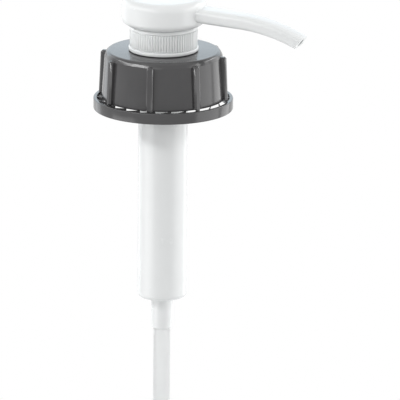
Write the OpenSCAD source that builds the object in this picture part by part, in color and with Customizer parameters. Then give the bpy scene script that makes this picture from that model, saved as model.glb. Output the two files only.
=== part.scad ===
// Dispensing pump on a canister screw cap.
// A push-down pump head with a bent nozzle, held by a knurled collar on the neck of a ribbed
// canister cap. The pump cylinder and its dip tube hang below the cap, inside the canister.
// Origin: on the axis, at the face of the cap gasket that rests on the canister's rim. +Z is up.
// +X is the way that the nozzle points. Millimetres.

/* [Screw cap] */
// Nominal outside diameter of the canister's neck thread
can_thread_d = 61; // [56:0.5:66]
// Radial room between the canister's thread and the cap's wall
can_thread_fit = 0.2; // [0.1:0.05:0.5]
// Height of a thread ridge inside the cap
can_thread_depth = 1.4; // [0.8:0.1:1.8]
// Rise of the cap's inner thread in one turn
can_thread_pitch = 6; // [5:0.5:8]
// Turns of the cap's inner thread
can_thread_turns = 1.5; // [1:0.25:2]
// Wall of the skirt at its top
cap_wall = 1.6; // [0.8:0.1:3]
// How much wider the skirt's foot is than its top, on the radius
cap_flare = 1.7; // [0:0.1:3]
// Height of the cap, from its top face to the foot of its skirt
cap_h = 26.7; // [22:0.1:32]
// Thickness of the cap's top plate
plate_t = 3.1; // [2:0.1:4]
// Radius of the cap's rim
rim_round = 2.2; // [0.5:0.1:2.4]
// Number of grip ribs
rib_count = 8; // [4:1:16]
// Width of a grip rib
rib_w = 3.8; // [2:0.1:6]
// How far a rib stands out from the skirt at its head
rib_head_stand = 2.8; // [1:0.1:3]
// How far a rib stands out from the skirt at its foot
rib_foot_stand = 2.1; // [0.5:0.1:2.2]
// Distance from the cap's top face down to the heads of the ribs
rib_drop = 2; // [1:0.1:6]
// Bevel on the head of a rib
rib_bevel = 0.8; // [0.2:0.1:1]
// Direction of the first rib, in degrees from the nozzle
rib_turn = 10.5; // [0:0.5:45]
// Thickness of the cap gasket
gasket_t = 2; // [1:0.1:3]
// Width of the cap gasket's face
gasket_w = 6; // [4:0.5:9]

/* [Tamper ring] */
// Radial gap between the skirt's foot and the ring
ring_gap = 2.4; // [2:0.1:4]
// Wall of the ring
ring_wall = 2; // [1.2:0.1:3]
// Height of the ring
ring_h = 6.1; // [3:0.1:8]
// How far the lip at the ring's foot reaches inwards
ring_lip = 1.4; // [0.5:0.1:2]
// Height of that lip
ring_lip_h = 1.2; // [0.6:0.1:2]
// Number of break-away webs
web_count = 24; // [12:1:30]
// Thickness of a web
web_t = 0.9; // [0.5:0.1:1.5]
// Height of a web
web_h = 1.5; // [0.8:0.1:2.5]
// How far a web leans round the axis from skirt to ring, in degrees
web_lean = 9; // [0:0.5:12]
// How far a web reaches in under the skirt's foot
web_root = 1; // [0.5:0.1:2]

/* [Neck and collar] */
// Height of the threaded neck on the cap
neck_h = 9.8; // [8:0.2:14]
// Wall of that neck
neck_wall = 1.1; // [0.8:0.1:2]
// Height of the thread ridges on the neck and in the collar
neck_thread_depth = 1.1; // [0.7:0.1:1.5]
// Rise of the neck thread in one turn
neck_thread_pitch = 4.23; // [3.5:0.01:5]
// Turns of the neck thread, and of the collar's
neck_thread_turns = 1.25; // [1:0.25:1.5]
// Wall of the collar under its knurls
collar_wall = 1.7; // [1.2:0.1:3]
// Number of knurls round the collar
knurl_count = 76; // [48:2:100]
// Height of a knurl
knurl_depth = 0.5; // [0.3:0.05:0.8]
// Height of the smooth bead at the collar's foot
bead_h = 2; // [1:0.1:3]
// How far the bead stands out past the knurls
bead_stand = 0.6; // [0.2:0.1:1]
// Height of the smooth band above the knurls
band_h = 2; // [1:0.1:3]
// How far the band stands out past the knurls
band_stand = 0.1; // [0.05:0.05:0.5]
// Radius of the collar's shoulder
shoulder_round = 1; // [0.3:0.1:1.4]
// Thickness of the collar's inner ledge
ledge_t = 1.2; // [0.8:0.1:2]
// Thickness of the neck gasket
neck_gasket_t = 1; // [0.5:0.1:2]
// Gap between the collar and the cap's top face
collar_gap = 0.3; // [0.2:0.05:1]

/* [Cylinder and dip tube] */
// Bore of the pump cylinder
bore_d = 24.6; // [20:0.1:28]
// Wall of the pump cylinder
housing_wall = 1.3; // [1:0.1:2]
// Radial room between the cylinder and the neck's bore
housing_fit = 0.5; // [0.3:0.1:1]
// Thickness of the cylinder's flange
flange_t = 1.6; // [1:0.1:2.5]
// Thickness of the cylinder's floor
floor_t = 2.6; // [2.2:0.1:4]
// Radius of the cylinder's lower edge
floor_round = 2.4; // [0.5:0.1:2.6]
// Travel of the pump head
stroke = 63; // [40:1:75]
// Length of the spigot that holds the dip tube
spigot_len = 17.8; // [12:0.2:25]
// Wall of that spigot at its foot
spigot_wall = 1.35; // [0.8:0.05:2]
// How much wider the spigot is at the cylinder than at its foot, on the radius
spigot_draft = 0.35; // [0:0.05:0.6]
// Outside diameter of the dip tube
dip_d = 9; // [7:0.5:10]
// Wall of the dip tube
dip_wall = 1.25; // [0.8:0.05:1.5]
// How far the spigot squeezes the dip tube in, on the radius
dip_squeeze = 0.25; // [0.1:0.05:0.4]
// Depth of the dip tube's end below the canister's rim
dip_depth = 295; // [200:5:400]
// Slope of the cut at the dip tube's end, in degrees
dip_cut = 30; // [0:5:45]
// Diameter of the vent hole
vent_d = 1.5; // [0.8:0.1:2]

/* [Plunger] */
// Outside diameter of the stem
stem_d = 11.2; // [9.5:0.1:12]
// Wall of the stem
stem_wall = 1.6; // [1.2:0.1:2]
// Height of the stem's shoulder
stem_shoulder_h = 2; // [1.5:0.1:4]
// How far that shoulder stands out
stem_shoulder = 2.4; // [1.5:0.1:3]
// Height of the piston
piston_h = 14; // [10:0.5:18]
// Height of the flange at the piston's top
piston_flange_t = 2; // [1.5:0.1:3]
// Wall of the piston's core round the stem
piston_core_wall = 2.4; // [1.5:0.1:3]
// How far the piston seal's waist is drawn in from its lips
seal_waist = 1; // [0.4:0.1:1.5]
// Height of a lip of the piston seal
seal_lip_h = 2.5; // [1.5:0.1:4]
// Thickness of the spring follower
follower_t = 1.5; // [1:0.1:3]
// Thickness of the stem foot's flange
foot_t = 1.6; // [1:0.1:3]
// Length of the stem foot's plug
foot_plug = 8; // [5:0.5:12]
// Diameter of the spring's wire
wire_d = 1.6; // [1.2:0.1:1.7]
// Mean diameter of the spring
spring_d = 18.4; // [18:0.1:20]
// Turns of the spring
spring_turns = 13; // [8:1:16]
// Rise of the spring in one turn, pushed down
spring_pitch = 2.2; // [2.1:0.05:3]

/* [Stem guide] */
// Length of the guide below the top of the cylinder
guide_len = 36.9; // [25:0.1:45]
// Thickness of the guide's flange
guide_flange_t = 0.8; // [0.6:0.1:2]
// How far the guide's flange overlaps the collar's ledge
guide_overlap = 1.5; // [0.8:0.1:2]
// Wall of the guide
guide_wall = 1.6; // [1.2:0.1:2]
// Depth of the guide's cup
guide_cup = 15.3; // [13:0.1:20]
// Thickness of the cup's floor
guide_floor_t = 1.5; // [1:0.1:3]
// Wall of the long bush
bush_wall = 1.9; // [1.2:0.1:2.2]
// Thickness of the wiper seal
wiper_t = 1.5; // [1:0.1:3]
// Width of the wiper seal's ring
wiper_w = 2.8; // [1.5:0.1:3.5]
// Height of a lock lug, and of the ledge that holds it
lug_h = 2; // [1.5:0.1:3]
// Arc of a lock lug, in degrees
lug_arc = 50; // [30:5:70]
// Arc of a lock ledge, in degrees
lock_arc = 70; // [40:5:90]

/* [Valves] */
// Diameter of the inlet ball
inlet_ball_d = 8; // [7:0.5:8]
// Diameter of the outlet ball
outlet_ball_d = 6.4; // [5.5:0.1:6.4]
// How far a ball can lift off its seat
ball_lift = 2.4; // [1:0.1:3]
// Slope of a ball's seat from the axis, in degrees
seat_slope = 35; // [30:1:45]
// Wall of the inlet cage
cage_wall = 1.2; // [0.8:0.1:1.5]
// Thickness of the inlet cage's flange
cage_flange_t = 1.4; // [1:0.1:2]
// Number of windows in the inlet cage
cage_windows = 4; // [3:1:6]
// Width of a window in the inlet cage
window_w = 4; // [2:0.5:5]
// Length of the outlet seat
outlet_seat_len = 5; // [4:0.5:8]
// Width of the rim round the outlet seat's cone
outlet_rim = 0.5; // [0.3:0.1:1]
// Radial room round the outlet ball
ball_room = 1.4; // [1:0.1:2]
// Distance from the nozzle's bore down to the top of the stem
stem_drop = 1.4; // [1:0.1:2]

/* [Head and nozzle] */
// Diameter of the pump head
head_d = 46.8; // [42:0.2:54]
// Height of the pump head
head_h = 15.1; // [14.4:0.1:20]
// Radius of the head's lower edge
head_foot_round = 4.2; // [2:0.1:5]
// Radius of the head's top rim
head_rim_round = 4.4; // [3.6:0.1:5]
// Width of the flat rim between that radius and the cover
head_rim_flat = 0.4; // [0.2:0.1:1]
// Wall of the head
head_wall = 1.9; // [1.6:0.1:3]
// Gap between the head, pushed down, and the stem guide
head_gap = 0.4; // [0.3:0.1:1]
// Thickness of the head's cover
cover_t = 2.2; // [1.8:0.1:3]
// Depth of the thumb dish in the cover
dish_depth = 0.9; // [0:0.1:1.2]
// Height of the snap ring under the cover
cover_snap_h = 2; // [1:0.1:3]
// Wall of the hub round the stem
hub_wall = 3.6; // [3:0.1:3.8]
// Height of the nozzle's axis above the head's foot, at the head's wall
nozzle_up = 7.3; // [6.4:0.1:8.5]
// Reach of the nozzle's tip from the axis
nozzle_reach = 81.6; // [65:0.2:110]
// How far the nozzle dips as it leaves the head, in degrees
nozzle_dip = 3; // [0:0.5:6]
// Distance from the axis to where the nozzle starts to bend
nozzle_straight = 47; // [32:0.5:55]
// Radius of the nozzle's bend
nozzle_bend_r = 95; // [75:1:150]
// Width of the nozzle at the head
nozzle_w = 15.5; // [12:0.1:17]
// Height of the nozzle at the head
nozzle_h = 8; // [7.4:0.1:8.6]
// Width of the nozzle at its tip
tip_w = 11; // [9:0.1:12]
// Height of the nozzle at its tip
tip_h = 7.6; // [6.8:0.1:8]
// Slope of the cut at the tip past square to the nozzle, in degrees
tip_cut = 10; // [0:1:25]
// Bore of the nozzle
channel_d = 4.6; // [3:0.1:5]
// How square the nozzle's sides are, where 2 is an ellipse
nozzle_square_side = 3.6; // [2:0.1:5]
// How square the nozzle's top is
nozzle_square_top = 4; // [2:0.1:5]
// How square the nozzle's underside is
nozzle_square_foot = 3; // [2:0.1:5]

/* [Fits] */
// Radial gap of parts that are pressed together
press_gap = 0.03; // [0.02:0.01:0.05]
// Radial gap of parts that turn or slide on each other
run_gap = 0.06; // [0.04:0.01:0.1]
// Radial gap between the threads of neck and collar
thread_gap = 0.2; // [0.15:0.05:0.4]
// Gap between the flanks of those threads
flank_gap = 0.3; // [0.2:0.05:0.5]
// Gap along the axis where a part is held between two others
stack_gap = 0.1; // [0.05:0.05:0.3]
// Gap left at the upper stop of the stroke
stop_gap = 0.3; // [0.2:0.1:1]

/* [Hidden] */
$fn = 96;

// How far a ridge, rib or web runs into the wall that carries it, and how far a cut overshoots
root = 0.4;

// Radii of the screw cap and the ring, from the canister's thread outwards
cap_in_r = can_thread_d / 2 + can_thread_fit;
cap_top_r = cap_in_r + cap_wall;
cap_foot_r = cap_top_r + cap_flare;
gasket_r = cap_in_r - can_thread_depth - can_thread_fit;
ring_in_r = cap_foot_r + ring_gap;
ring_out_r = ring_in_r + ring_wall;

// Radii of the cylinder, the neck and the collar, from the bore outwards
bore_r = bore_d / 2;
housing_r = bore_r + housing_wall;
neck_in_r = housing_r + housing_fit;
neck_r = neck_in_r + neck_wall;
neck_crest_r = neck_r + neck_thread_depth;
collar_in_r = neck_crest_r + thread_gap;
collar_crest_r = neck_r + thread_gap;
collar_r = collar_in_r + collar_wall;
knurl_r = collar_r + knurl_depth;
bead_r = knurl_r + bead_stand;
bead_round = bead_stand * 0.8;
band_r = knurl_r + band_stand;
flange_r = neck_r + neck_thread_depth / 2;

// Radii of the guide, the stem and the head's hub
guide_r = bore_r - press_gap;
cup_r = guide_r - guide_wall;
ledge_in_r = bore_r + housing_wall / 2;
guide_flange_r = ledge_in_r + guide_overlap;
stem_r = stem_d / 2;
stem_in_r = stem_r - stem_wall;
bush_in_r = stem_r + run_gap;
bush_r = bush_in_r + bush_wall;
hub_r = stem_r + hub_wall;
lock_bite = (cup_r - hub_r) / 2;
lug_r = (hub_r + cup_r + lock_bite) / 2;
lock_in_r = (hub_r + cup_r - lock_bite) / 2;
chamber_r = outlet_ball_d / 2 + ball_room;

// Heights, from the gasket's face up to the head
cap_top = gasket_t + plate_t;
cap_foot = cap_top - cap_h;
neck_top = cap_top + neck_h;
neck_ridge_w = neck_thread_pitch * 0.38;
neck_thread_z = neck_top - neck_ridge_w - neck_thread_turns * neck_thread_pitch;
flange_z = neck_top + neck_gasket_t;
housing_top = flange_z + flange_t;
ledge_z = housing_top + stack_gap;
guide_flange_z = ledge_z + ledge_t + stack_gap;
guide_top = guide_flange_z + guide_flange_t;
collar_foot = cap_top + collar_gap;
collar_top = guide_top - stack_gap;
head_foot = guide_top + head_gap;
head_top = head_foot + head_h;
cover_z = head_top - cover_t;
nozzle_z = head_foot + nozzle_up;

// Heights inside the guide's cup
cup_floor = guide_top - guide_cup;
hub_foot = cup_floor + wiper_t + head_gap;
lock_z = hub_foot + lug_h + head_gap;

// Heights down the cylinder, from the guide's lower end to the dip tube
guide_foot = housing_top - guide_len;
piston_top = guide_foot - stop_gap - stroke - stem_shoulder_h;
piston_foot = piston_top - piston_h;
follower_foot = piston_foot - follower_t;
spring_len = spring_turns * spring_pitch + wire_d + 2 * stack_gap;
cage_flange_top = follower_foot - spring_len;
floor_top = cage_flange_top - cage_flange_t;
housing_foot = floor_top - floor_t;
spigot_foot = housing_foot - spigot_len;
dip_top = housing_foot - floor_t;
dip_r = dip_d / 2;
dip_held_r = dip_r - dip_squeeze;
spigot_in_r = dip_held_r + press_gap;
spigot_r = spigot_in_r + spigot_wall;
inlet_r = dip_r - dip_wall;

// Valves: a ball rests on a cone, a hair above the line where it would touch
inlet_ball_r = inlet_ball_d / 2;
inlet_seat_r = inlet_r + floor_t * tan(seat_slope);
inlet_ball_z = floor_top - inlet_seat_r / tan(seat_slope) + (inlet_ball_r + run_gap) / sin(seat_slope);
cage_in_r = inlet_ball_r + 3 * run_gap + stack_gap;
cage_top = inlet_ball_z + inlet_ball_r + ball_lift + stack_gap + cage_wall;
outlet_ball_r = outlet_ball_d / 2;
stem_top = nozzle_z - channel_d / 2 - stem_drop;
outlet_mouth_r = stem_in_r - outlet_rim;
outlet_ball_z = stem_top - outlet_mouth_r / tan(seat_slope) + (outlet_ball_r + run_gap) / sin(seat_slope);
outlet_hole_r = outlet_mouth_r - outlet_seat_len / 2 * tan(seat_slope);
cover_plug_z = outlet_ball_z + outlet_ball_r + ball_lift + stack_gap;

// Mouth of the head's drum, which the cover closes
mouth_r = head_d / 2 - head_rim_round - head_rim_flat;

// Nozzle path: it dips from the head's wall, straight at first, then in one bend down to the tip
nozzle_run = (nozzle_straight - head_d / 2) / cos(nozzle_dip);
nozzle_bend = asin((nozzle_reach - nozzle_straight) / nozzle_bend_r + sin(nozzle_dip)) - nozzle_dip;
nozzle_len = nozzle_run + nozzle_bend_r * nozzle_bend * PI / 180;
nozzle_steps = 14;
duct_d = channel_d + 2 * head_wall;

// A point at a radius and an angle
function polar(r, a) = [r * cos(a), r * sin(a)];

// Points along an arc about a centre, for a turned profile
function arc(c, r, from, to, n = 6) = [for (i = [0:n]) c + polar(r, from + (to - from) * i / n)];

// A solid of revolution from a profile of [radius, height] points
module turned(profile) {
    rotate_extrude() polygon(profile);
}

// A plain ring
module ring(r_out, r_in, z, h) {
    turned([[r_in, z], [r_out, z], [r_out, z + h], [r_in, z + h]]);
}

// Skin of a tube through sections that have the same number of points, with closed ends
module lofted(sections) {
    n = len(sections[0]);
    last = len(sections) - 1;
    sides = [for (s = [0:last - 1], i = [0:n - 1])
        let (a = s * n + i, b = s * n + (i + 1) % n)
        each [[a, a + n, b], [b, a + n, b + n]]];
    ends = [for (i = [1:n - 2]) each [[0, i, i + 1], [last * n, last * n + i + 1, last * n + i]]];
    polyhedron([for (s = sections) each s], concat(sides, ends));
}

// One thread ridge on a wall: it stands out from wall_r to crest_r, which is less for an inner thread
module thread_ridge(wall_r, crest_r, pitch, turns, z, foot_w, crest_w) {
    outward = crest_r > wall_r;
    buried_r = wall_r + (outward ? -root : root);
    steps = ceil(turns * 24);
    lead = 3;
    lofted([for (i = [0:steps])
        let (a = i / steps * turns * 360,
             grown = min(1, 0.15 + i / lead, 0.15 + (steps - i) / lead),
             r = wall_r + (crest_r - wall_r) * grown,
             zc = z + pitch * a / 360,
             rz = [[buried_r, zc - foot_w / 2], [r, zc - crest_w / 2],
                   [r, zc + crest_w / 2], [buried_r, zc + foot_w / 2]])
        [for (p = outward ? [rz[3], rz[2], rz[1], rz[0]] : rz) [p.x * cos(a), p.x * sin(a), p.y]]]);
}

// Sector of a ring, for lugs and ledges
module sector(r_out, r_in, z, h, middle, width) {
    rotate([0, 0, middle - width / 2]) translate([0, 0, z])
        rotate_extrude(angle = width) translate([r_in, 0]) square([r_out - r_in, h]);
}

// Grey canister cap with its grip ribs, its inner thread and the threaded neck on top
module screw_cap() {
    rib_foot_r = cap_foot_r + rib_foot_stand;
    rib_head_r = cap_top_r + rib_head_stand;
    rib_head = cap_top - rib_drop;
    color("dimgray") {
        turned(concat(
            [[cap_in_r, cap_foot], [cap_foot_r, cap_foot]],
            arc([cap_top_r - rim_round, cap_top - rim_round], rim_round, 0, 90),
            [[neck_r, cap_top], [neck_r, neck_top], [neck_in_r, neck_top],
             [neck_in_r, gasket_t], [cap_in_r, gasket_t]]));
        for (i = [0:rib_count - 1])
            rotate([0, 0, rib_turn + i * 360 / rib_count]) rotate([90, 0, 0])
                linear_extrude(rib_w, center = true)
                    polygon([[cap_in_r + cap_wall / 2, cap_foot], [rib_foot_r, cap_foot],
                             [rib_head_r, rib_head - rib_bevel], [rib_head_r - rib_bevel, rib_head],
                             [cap_in_r + cap_wall / 2, rib_head]]);
        thread_ridge(cap_in_r, cap_in_r - can_thread_depth, can_thread_pitch, can_thread_turns,
            cap_foot + can_thread_pitch / 2, can_thread_pitch / 2, can_thread_pitch / 5);
        thread_ridge(neck_r, neck_crest_r, neck_thread_pitch, neck_thread_turns,
            neck_thread_z, neck_ridge_w, neck_ridge_w / 2);
    }
}

// Break-away ring round the foot of the cap, with the leaning webs that carry it
module tamper_ring() {
    ring_top = cap_foot;
    ring_foot = ring_top - ring_h;
    web_in_r = cap_foot_r - web_root;
    web_out_r = ring_in_r + root;
    in_half = web_t / 2 / web_in_r * 180 / PI;
    out_half = web_t / 2 / web_out_r * 180 / PI;
    color("dimgray") {
        turned([[ring_in_r, ring_top], [ring_out_r, ring_top], [ring_out_r, ring_foot],
                [ring_in_r - ring_lip, ring_foot], [ring_in_r - ring_lip, ring_foot + ring_lip_h / 2],
                [ring_in_r, ring_foot + ring_lip_h]]);
        for (i = [0:web_count - 1])
            rotate([0, 0, rib_turn + i * 360 / web_count]) translate([0, 0, ring_top - web_h])
                linear_extrude(web_h)
                    polygon([polar(web_in_r, web_lean / 2 - in_half), polar(web_out_r, -web_lean / 2 - out_half),
                             polar(web_out_r, -web_lean / 2 + out_half), polar(web_in_r, web_lean / 2 + in_half)]);
    }
}

// Soft washer under the cap's top plate, which seals on the canister's rim
module cap_gasket() {
    color("gainsboro") ring(gasket_r, gasket_r - gasket_w, 0, gasket_t);
}

// Soft washer between the neck's rim and the cylinder's flange
module neck_gasket() {
    color("gainsboro") ring(neck_r - thread_gap, neck_in_r, neck_top, neck_gasket_t);
}

// Outline of the knurled wall of the collar
function knurl_outline() = [for (i = [0:knurl_count - 1], p = [[0, 0], [0.3, 0], [0.5, 1], [0.8, 1]])
    polar(collar_r + knurl_depth * p.y, (i + p.x) * 360 / knurl_count)];

// White screw collar: bead, knurls, smooth band, and the ledge that holds the cylinder's flange down
module collar() {
    bead_top = collar_foot + bead_h;
    band_z = collar_top - band_h;
    mid_r = collar_in_r + collar_wall / 2;
    color("whitesmoke") {
        turned(concat(
            [[collar_in_r, collar_foot]],
            arc([bead_r - bead_round, collar_foot + bead_round], bead_round, -90, 0),
            arc([bead_r - bead_round, bead_top - bead_round], bead_round, 0, 90),
            [[mid_r, bead_top], [mid_r, bead_top + root], [collar_in_r, bead_top + root]]));
        difference() {
            translate([0, 0, bead_top]) linear_extrude(band_z - bead_top) polygon(knurl_outline());
            translate([0, 0, collar_foot]) cylinder(r = collar_in_r, h = collar_top - collar_foot);
        }
        turned(concat(
            [[collar_in_r, band_z - root], [mid_r, band_z - root], [mid_r, band_z], [band_r, band_z]],
            arc([band_r - shoulder_round, collar_top - shoulder_round], shoulder_round, 0, 90),
            [[guide_flange_r + thread_gap, collar_top], [guide_flange_r + thread_gap, ledge_z + ledge_t],
             [ledge_in_r, ledge_z + ledge_t], [ledge_in_r, ledge_z], [collar_in_r, ledge_z]]));
        thread_ridge(collar_in_r, collar_crest_r, neck_thread_pitch, neck_thread_turns,
            neck_thread_z - neck_ridge_w - flank_gap, neck_ridge_w, neck_ridge_w / 2);
    }
}

// White pump cylinder with its flange, its floor with the inlet seat, and the dip tube's spigot
module housing() {
    color("white") difference() {
        turned(concat(
            [[inlet_r, floor_top - floor_t - root], [inlet_r, housing_foot], [inlet_seat_r, floor_top],
             [bore_r, floor_top], [bore_r, housing_top], [flange_r, housing_top],
             [flange_r, flange_z], [housing_r, flange_z]],
            arc([housing_r - floor_round, housing_foot + floor_round], floor_round, 0, -90),
            [[spigot_r + spigot_draft, housing_foot], [spigot_r, spigot_foot], [spigot_in_r, spigot_foot],
             [spigot_in_r, dip_top], [inlet_r, dip_top]]));
        vent_hole();
    }
}

// Vent through the wall of cylinder and guide, which lets air into the canister
module vent_hole() {
    translate([0, 0, cup_floor + guide_cup / 2]) rotate([0, -90, 0])
        translate([0, 0, cup_r - root]) cylinder(d = vent_d, h = housing_r - cup_r + 2 * root);
}

// White guide snapped into the cylinder's mouth: flange, cup with two lock ledges, and the long bush
module stem_guide() {
    color("white") {
        difference() {
            turned([[cup_r, guide_top], [cup_r, cup_floor], [bush_in_r, cup_floor], [bush_in_r, guide_foot],
                    [bush_r, guide_foot], [bush_r, cup_floor - guide_floor_t], [guide_r, cup_floor - guide_floor_t],
                    [guide_r, guide_flange_z], [guide_flange_r, guide_flange_z], [guide_flange_r, guide_top]]);
            vent_hole();
        }
        for (side = [0, 180]) sector(cup_r + root, lock_in_r, lock_z, lug_h, side, lock_arc);
    }
}

// Soft ring in the guide's cup that wipes the stem
module wiper_seal() {
    color("lightgray") ring(bush_in_r + wiper_w, bush_in_r, cup_floor, wiper_t);
}

// Windowed cage on the cylinder's floor, which keeps the inlet ball near its seat
module inlet_cage() {
    cage_r = cage_in_r + cage_wall;
    window_h = cage_top - cage_flange_top - 2 * cage_wall;
    color("whitesmoke") difference() {
        turned([[cage_in_r, floor_top], [bore_r - run_gap, floor_top], [bore_r - run_gap, cage_flange_top],
                [cage_r, cage_flange_top], [cage_r, cage_top], [inlet_r / 2, cage_top],
                [inlet_r / 2, cage_top - cage_wall], [cage_in_r, cage_top - cage_wall]]);
        for (i = [0:cage_windows - 1])
            rotate([0, 0, i * 360 / cage_windows])
                translate([cage_in_r - root, -window_w / 2, cage_flange_top + cage_wall / 2])
                    cube([cage_wall + 2 * root, window_w, window_h]);
    }
}

// Steel ball of the inlet valve
module inlet_ball() {
    color("silver") translate([0, 0, inlet_ball_z]) sphere(r = inlet_ball_r);
}

// Natural polythene tube down into the canister, squeezed into the spigot and cut on the slant at its end
module dip_tube() {
    cut = dip_r * 2 + 2 * root;
    top = dip_top - stack_gap;
    color("aliceblue") difference() {
        turned([[inlet_r, -dip_depth], [dip_r, -dip_depth], [dip_r, spigot_foot - 4 * dip_squeeze],
                [dip_held_r, spigot_foot], [dip_held_r, top], [inlet_r, top]]);
        translate([dip_r, 0, -dip_depth]) rotate([0, dip_cut, 0])
            translate([-2 * cut, -cut / 2, -2 * cut]) cube([2 * cut, cut, 2 * cut]);
    }
}

// Points of the spring's centreline, and the sections of its wire
function spring_point(a) = [spring_d / 2 * cos(a), spring_d / 2 * sin(a),
    cage_flange_top + stack_gap + wire_d / 2 + spring_pitch * a / 360];
spring_rings = 8;
spring_sides = 6;
function spring_section(a) = [for (k = [0:spring_sides - 1])
    spring_point(a) + wire_d / 2 * (cos(k * 360 / spring_sides) * [cos(a), sin(a), 0]
        - [0, 0, sin(k * 360 / spring_sides)])];
spring_gap = norm(spring_point(360) - spring_point(0)) - wire_d;
echo("least gap between the turns of the spring", spring_gap);
echo("dose of one stroke in millilitres", PI * bore_r * bore_r * stroke / 1000);

// Steel return spring, pushed down as the head is
module return_spring() {
    color("silver") lofted([for (i = [0:spring_turns * spring_rings]) spring_section(i * 360 / spring_rings)]);
}

// Washer that spreads the spring's push under the piston
module spring_follower() {
    color("whitesmoke") ring(spring_d / 2 + wire_d, stem_r + press_gap + run_gap, follower_foot, follower_t);
}

// Stiff core of the piston, which turns on the stem
module piston_core() {
    core_r = bush_in_r + piston_core_wall;
    color("white") turned([[bush_in_r, piston_foot], [core_r, piston_foot], [core_r, piston_top - piston_flange_t],
        [bore_r - seal_waist - run_gap, piston_top - piston_flange_t], [bore_r - seal_waist - run_gap, piston_top],
        [bush_in_r, piston_top]]);
}

// Soft seal round the piston's core, with a lip at each end
module piston_seal() {
    lip_r = bore_r - run_gap;
    waist_r = lip_r - seal_waist;
    seal_in_r = bush_in_r + piston_core_wall + press_gap;
    seal_top = piston_top - piston_flange_t - press_gap;
    color("lightgray") turned([[seal_in_r, piston_foot], [lip_r, piston_foot], [lip_r, piston_foot + seal_lip_h / 2],
        [waist_r, piston_foot + seal_lip_h], [waist_r, seal_top - seal_lip_h], [lip_r, seal_top - seal_lip_h / 2],
        [lip_r, seal_top], [seal_in_r, seal_top]]);
}

// White hollow stem, from the head down through the guide and the piston
module stem() {
    shoulder_r = stem_r + stem_shoulder;
    stem_foot_z = follower_foot - stack_gap;
    color("white") turned([[stem_in_r, stem_foot_z], [stem_r, stem_foot_z], [stem_r, piston_top + stack_gap],
        [shoulder_r, piston_top + stack_gap], [shoulder_r, piston_top + stem_shoulder_h],
        [stem_r, piston_top + stem_shoulder_h], [stem_r, stem_top], [stem_in_r, stem_top]]);
}

// Flanged plug in the stem's lower end, which keeps the piston on
module stem_foot() {
    plug_r = stem_in_r - press_gap;
    foot_r = stem_r + stem_shoulder * 2 / 3;
    top = follower_foot - stack_gap;
    color("whitesmoke") turned([[plug_r - stem_wall, top - foot_t], [foot_r, top - foot_t], [foot_r, top],
        [plug_r, top], [plug_r, top + foot_plug], [plug_r - stem_wall, top + foot_plug]]);
}

// Insert in the stem's upper end, with the cone that the outlet ball rests on
module outlet_seat() {
    seat_r = stem_in_r - press_gap;
    color("whitesmoke") turned([[outlet_hole_r, stem_top - outlet_seat_len], [seat_r, stem_top - outlet_seat_len],
        [seat_r, stem_top], [outlet_mouth_r, stem_top], [outlet_hole_r, stem_top - outlet_seat_len / 2]]);
}

// Steel ball of the outlet valve
module outlet_ball() {
    color("silver") translate([0, 0, outlet_ball_z]) sphere(r = outlet_ball_r);
}

// One section of the nozzle, flat-topped and rounder below, square to its path
nozzle_sides = 28;
function bulge(v, power) = sign(v) * pow(abs(v), 2 / power);
function nozzle_section(at, slope, lean, w, h) = [for (k = [0:nozzle_sides - 1])
    let (t = k * 360 / nozzle_sides,
         y = w / 2 * bulge(cos(t), nozzle_square_side),
         up = h / 2 * bulge(sin(t), sin(t) > 0 ? nozzle_square_top : nozzle_square_foot))
    at + [up * sin(slope + lean), y, up * cos(slope + lean)]];
function nozzle_bend_point(a) = [nozzle_run + nozzle_bend_r * sin(a), 0, nozzle_bend_r * (cos(a) - 1)];

// Frame at the head's wall in which the nozzle starts along +X
module nozzle_frame() {
    translate([head_d / 2, 0, nozzle_z]) rotate([0, nozzle_dip, 0]) children();
}

// The nozzle's outside, from within the head's wall to the tip
module nozzle_outside() {
    head_r = head_d / 2;
    wall_bow = head_r - sqrt(head_r * head_r - nozzle_w * nozzle_w / 4);
    bend = [for (i = [0:nozzle_steps])
        let (a = i / nozzle_steps * nozzle_bend,
             s = (nozzle_run + nozzle_bend_r * a * PI / 180) / nozzle_len)
        nozzle_section(nozzle_bend_point(a), a, i == nozzle_steps ? tip_cut : 0,
            nozzle_w + (tip_w - nozzle_w) * s, nozzle_h + (tip_h - nozzle_h) * s)];
    nozzle_frame() lofted(concat(
        [nozzle_section([-wall_bow - head_wall / 2, 0, 0], 0, 0, nozzle_w, nozzle_h)], bend));
}

// The nozzle's bore, from the outlet chamber to the tip
module channel() {
    translate([0, 0, nozzle_z]) rotate([0, 90, 0]) cylinder(d = channel_d, h = head_d / 2 + root);
    nozzle_frame() {
        rotate([0, 90, 0]) cylinder(d = channel_d, h = nozzle_run);
        translate([nozzle_run, 0, -nozzle_bend_r]) rotate([90, 0, 0])
            rotate([0, 0, 90 - nozzle_bend - tip_cut / 2]) rotate_extrude(angle = nozzle_bend + tip_cut / 2)
                translate([nozzle_bend_r, 0]) circle(d = channel_d);
    }
}

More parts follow.
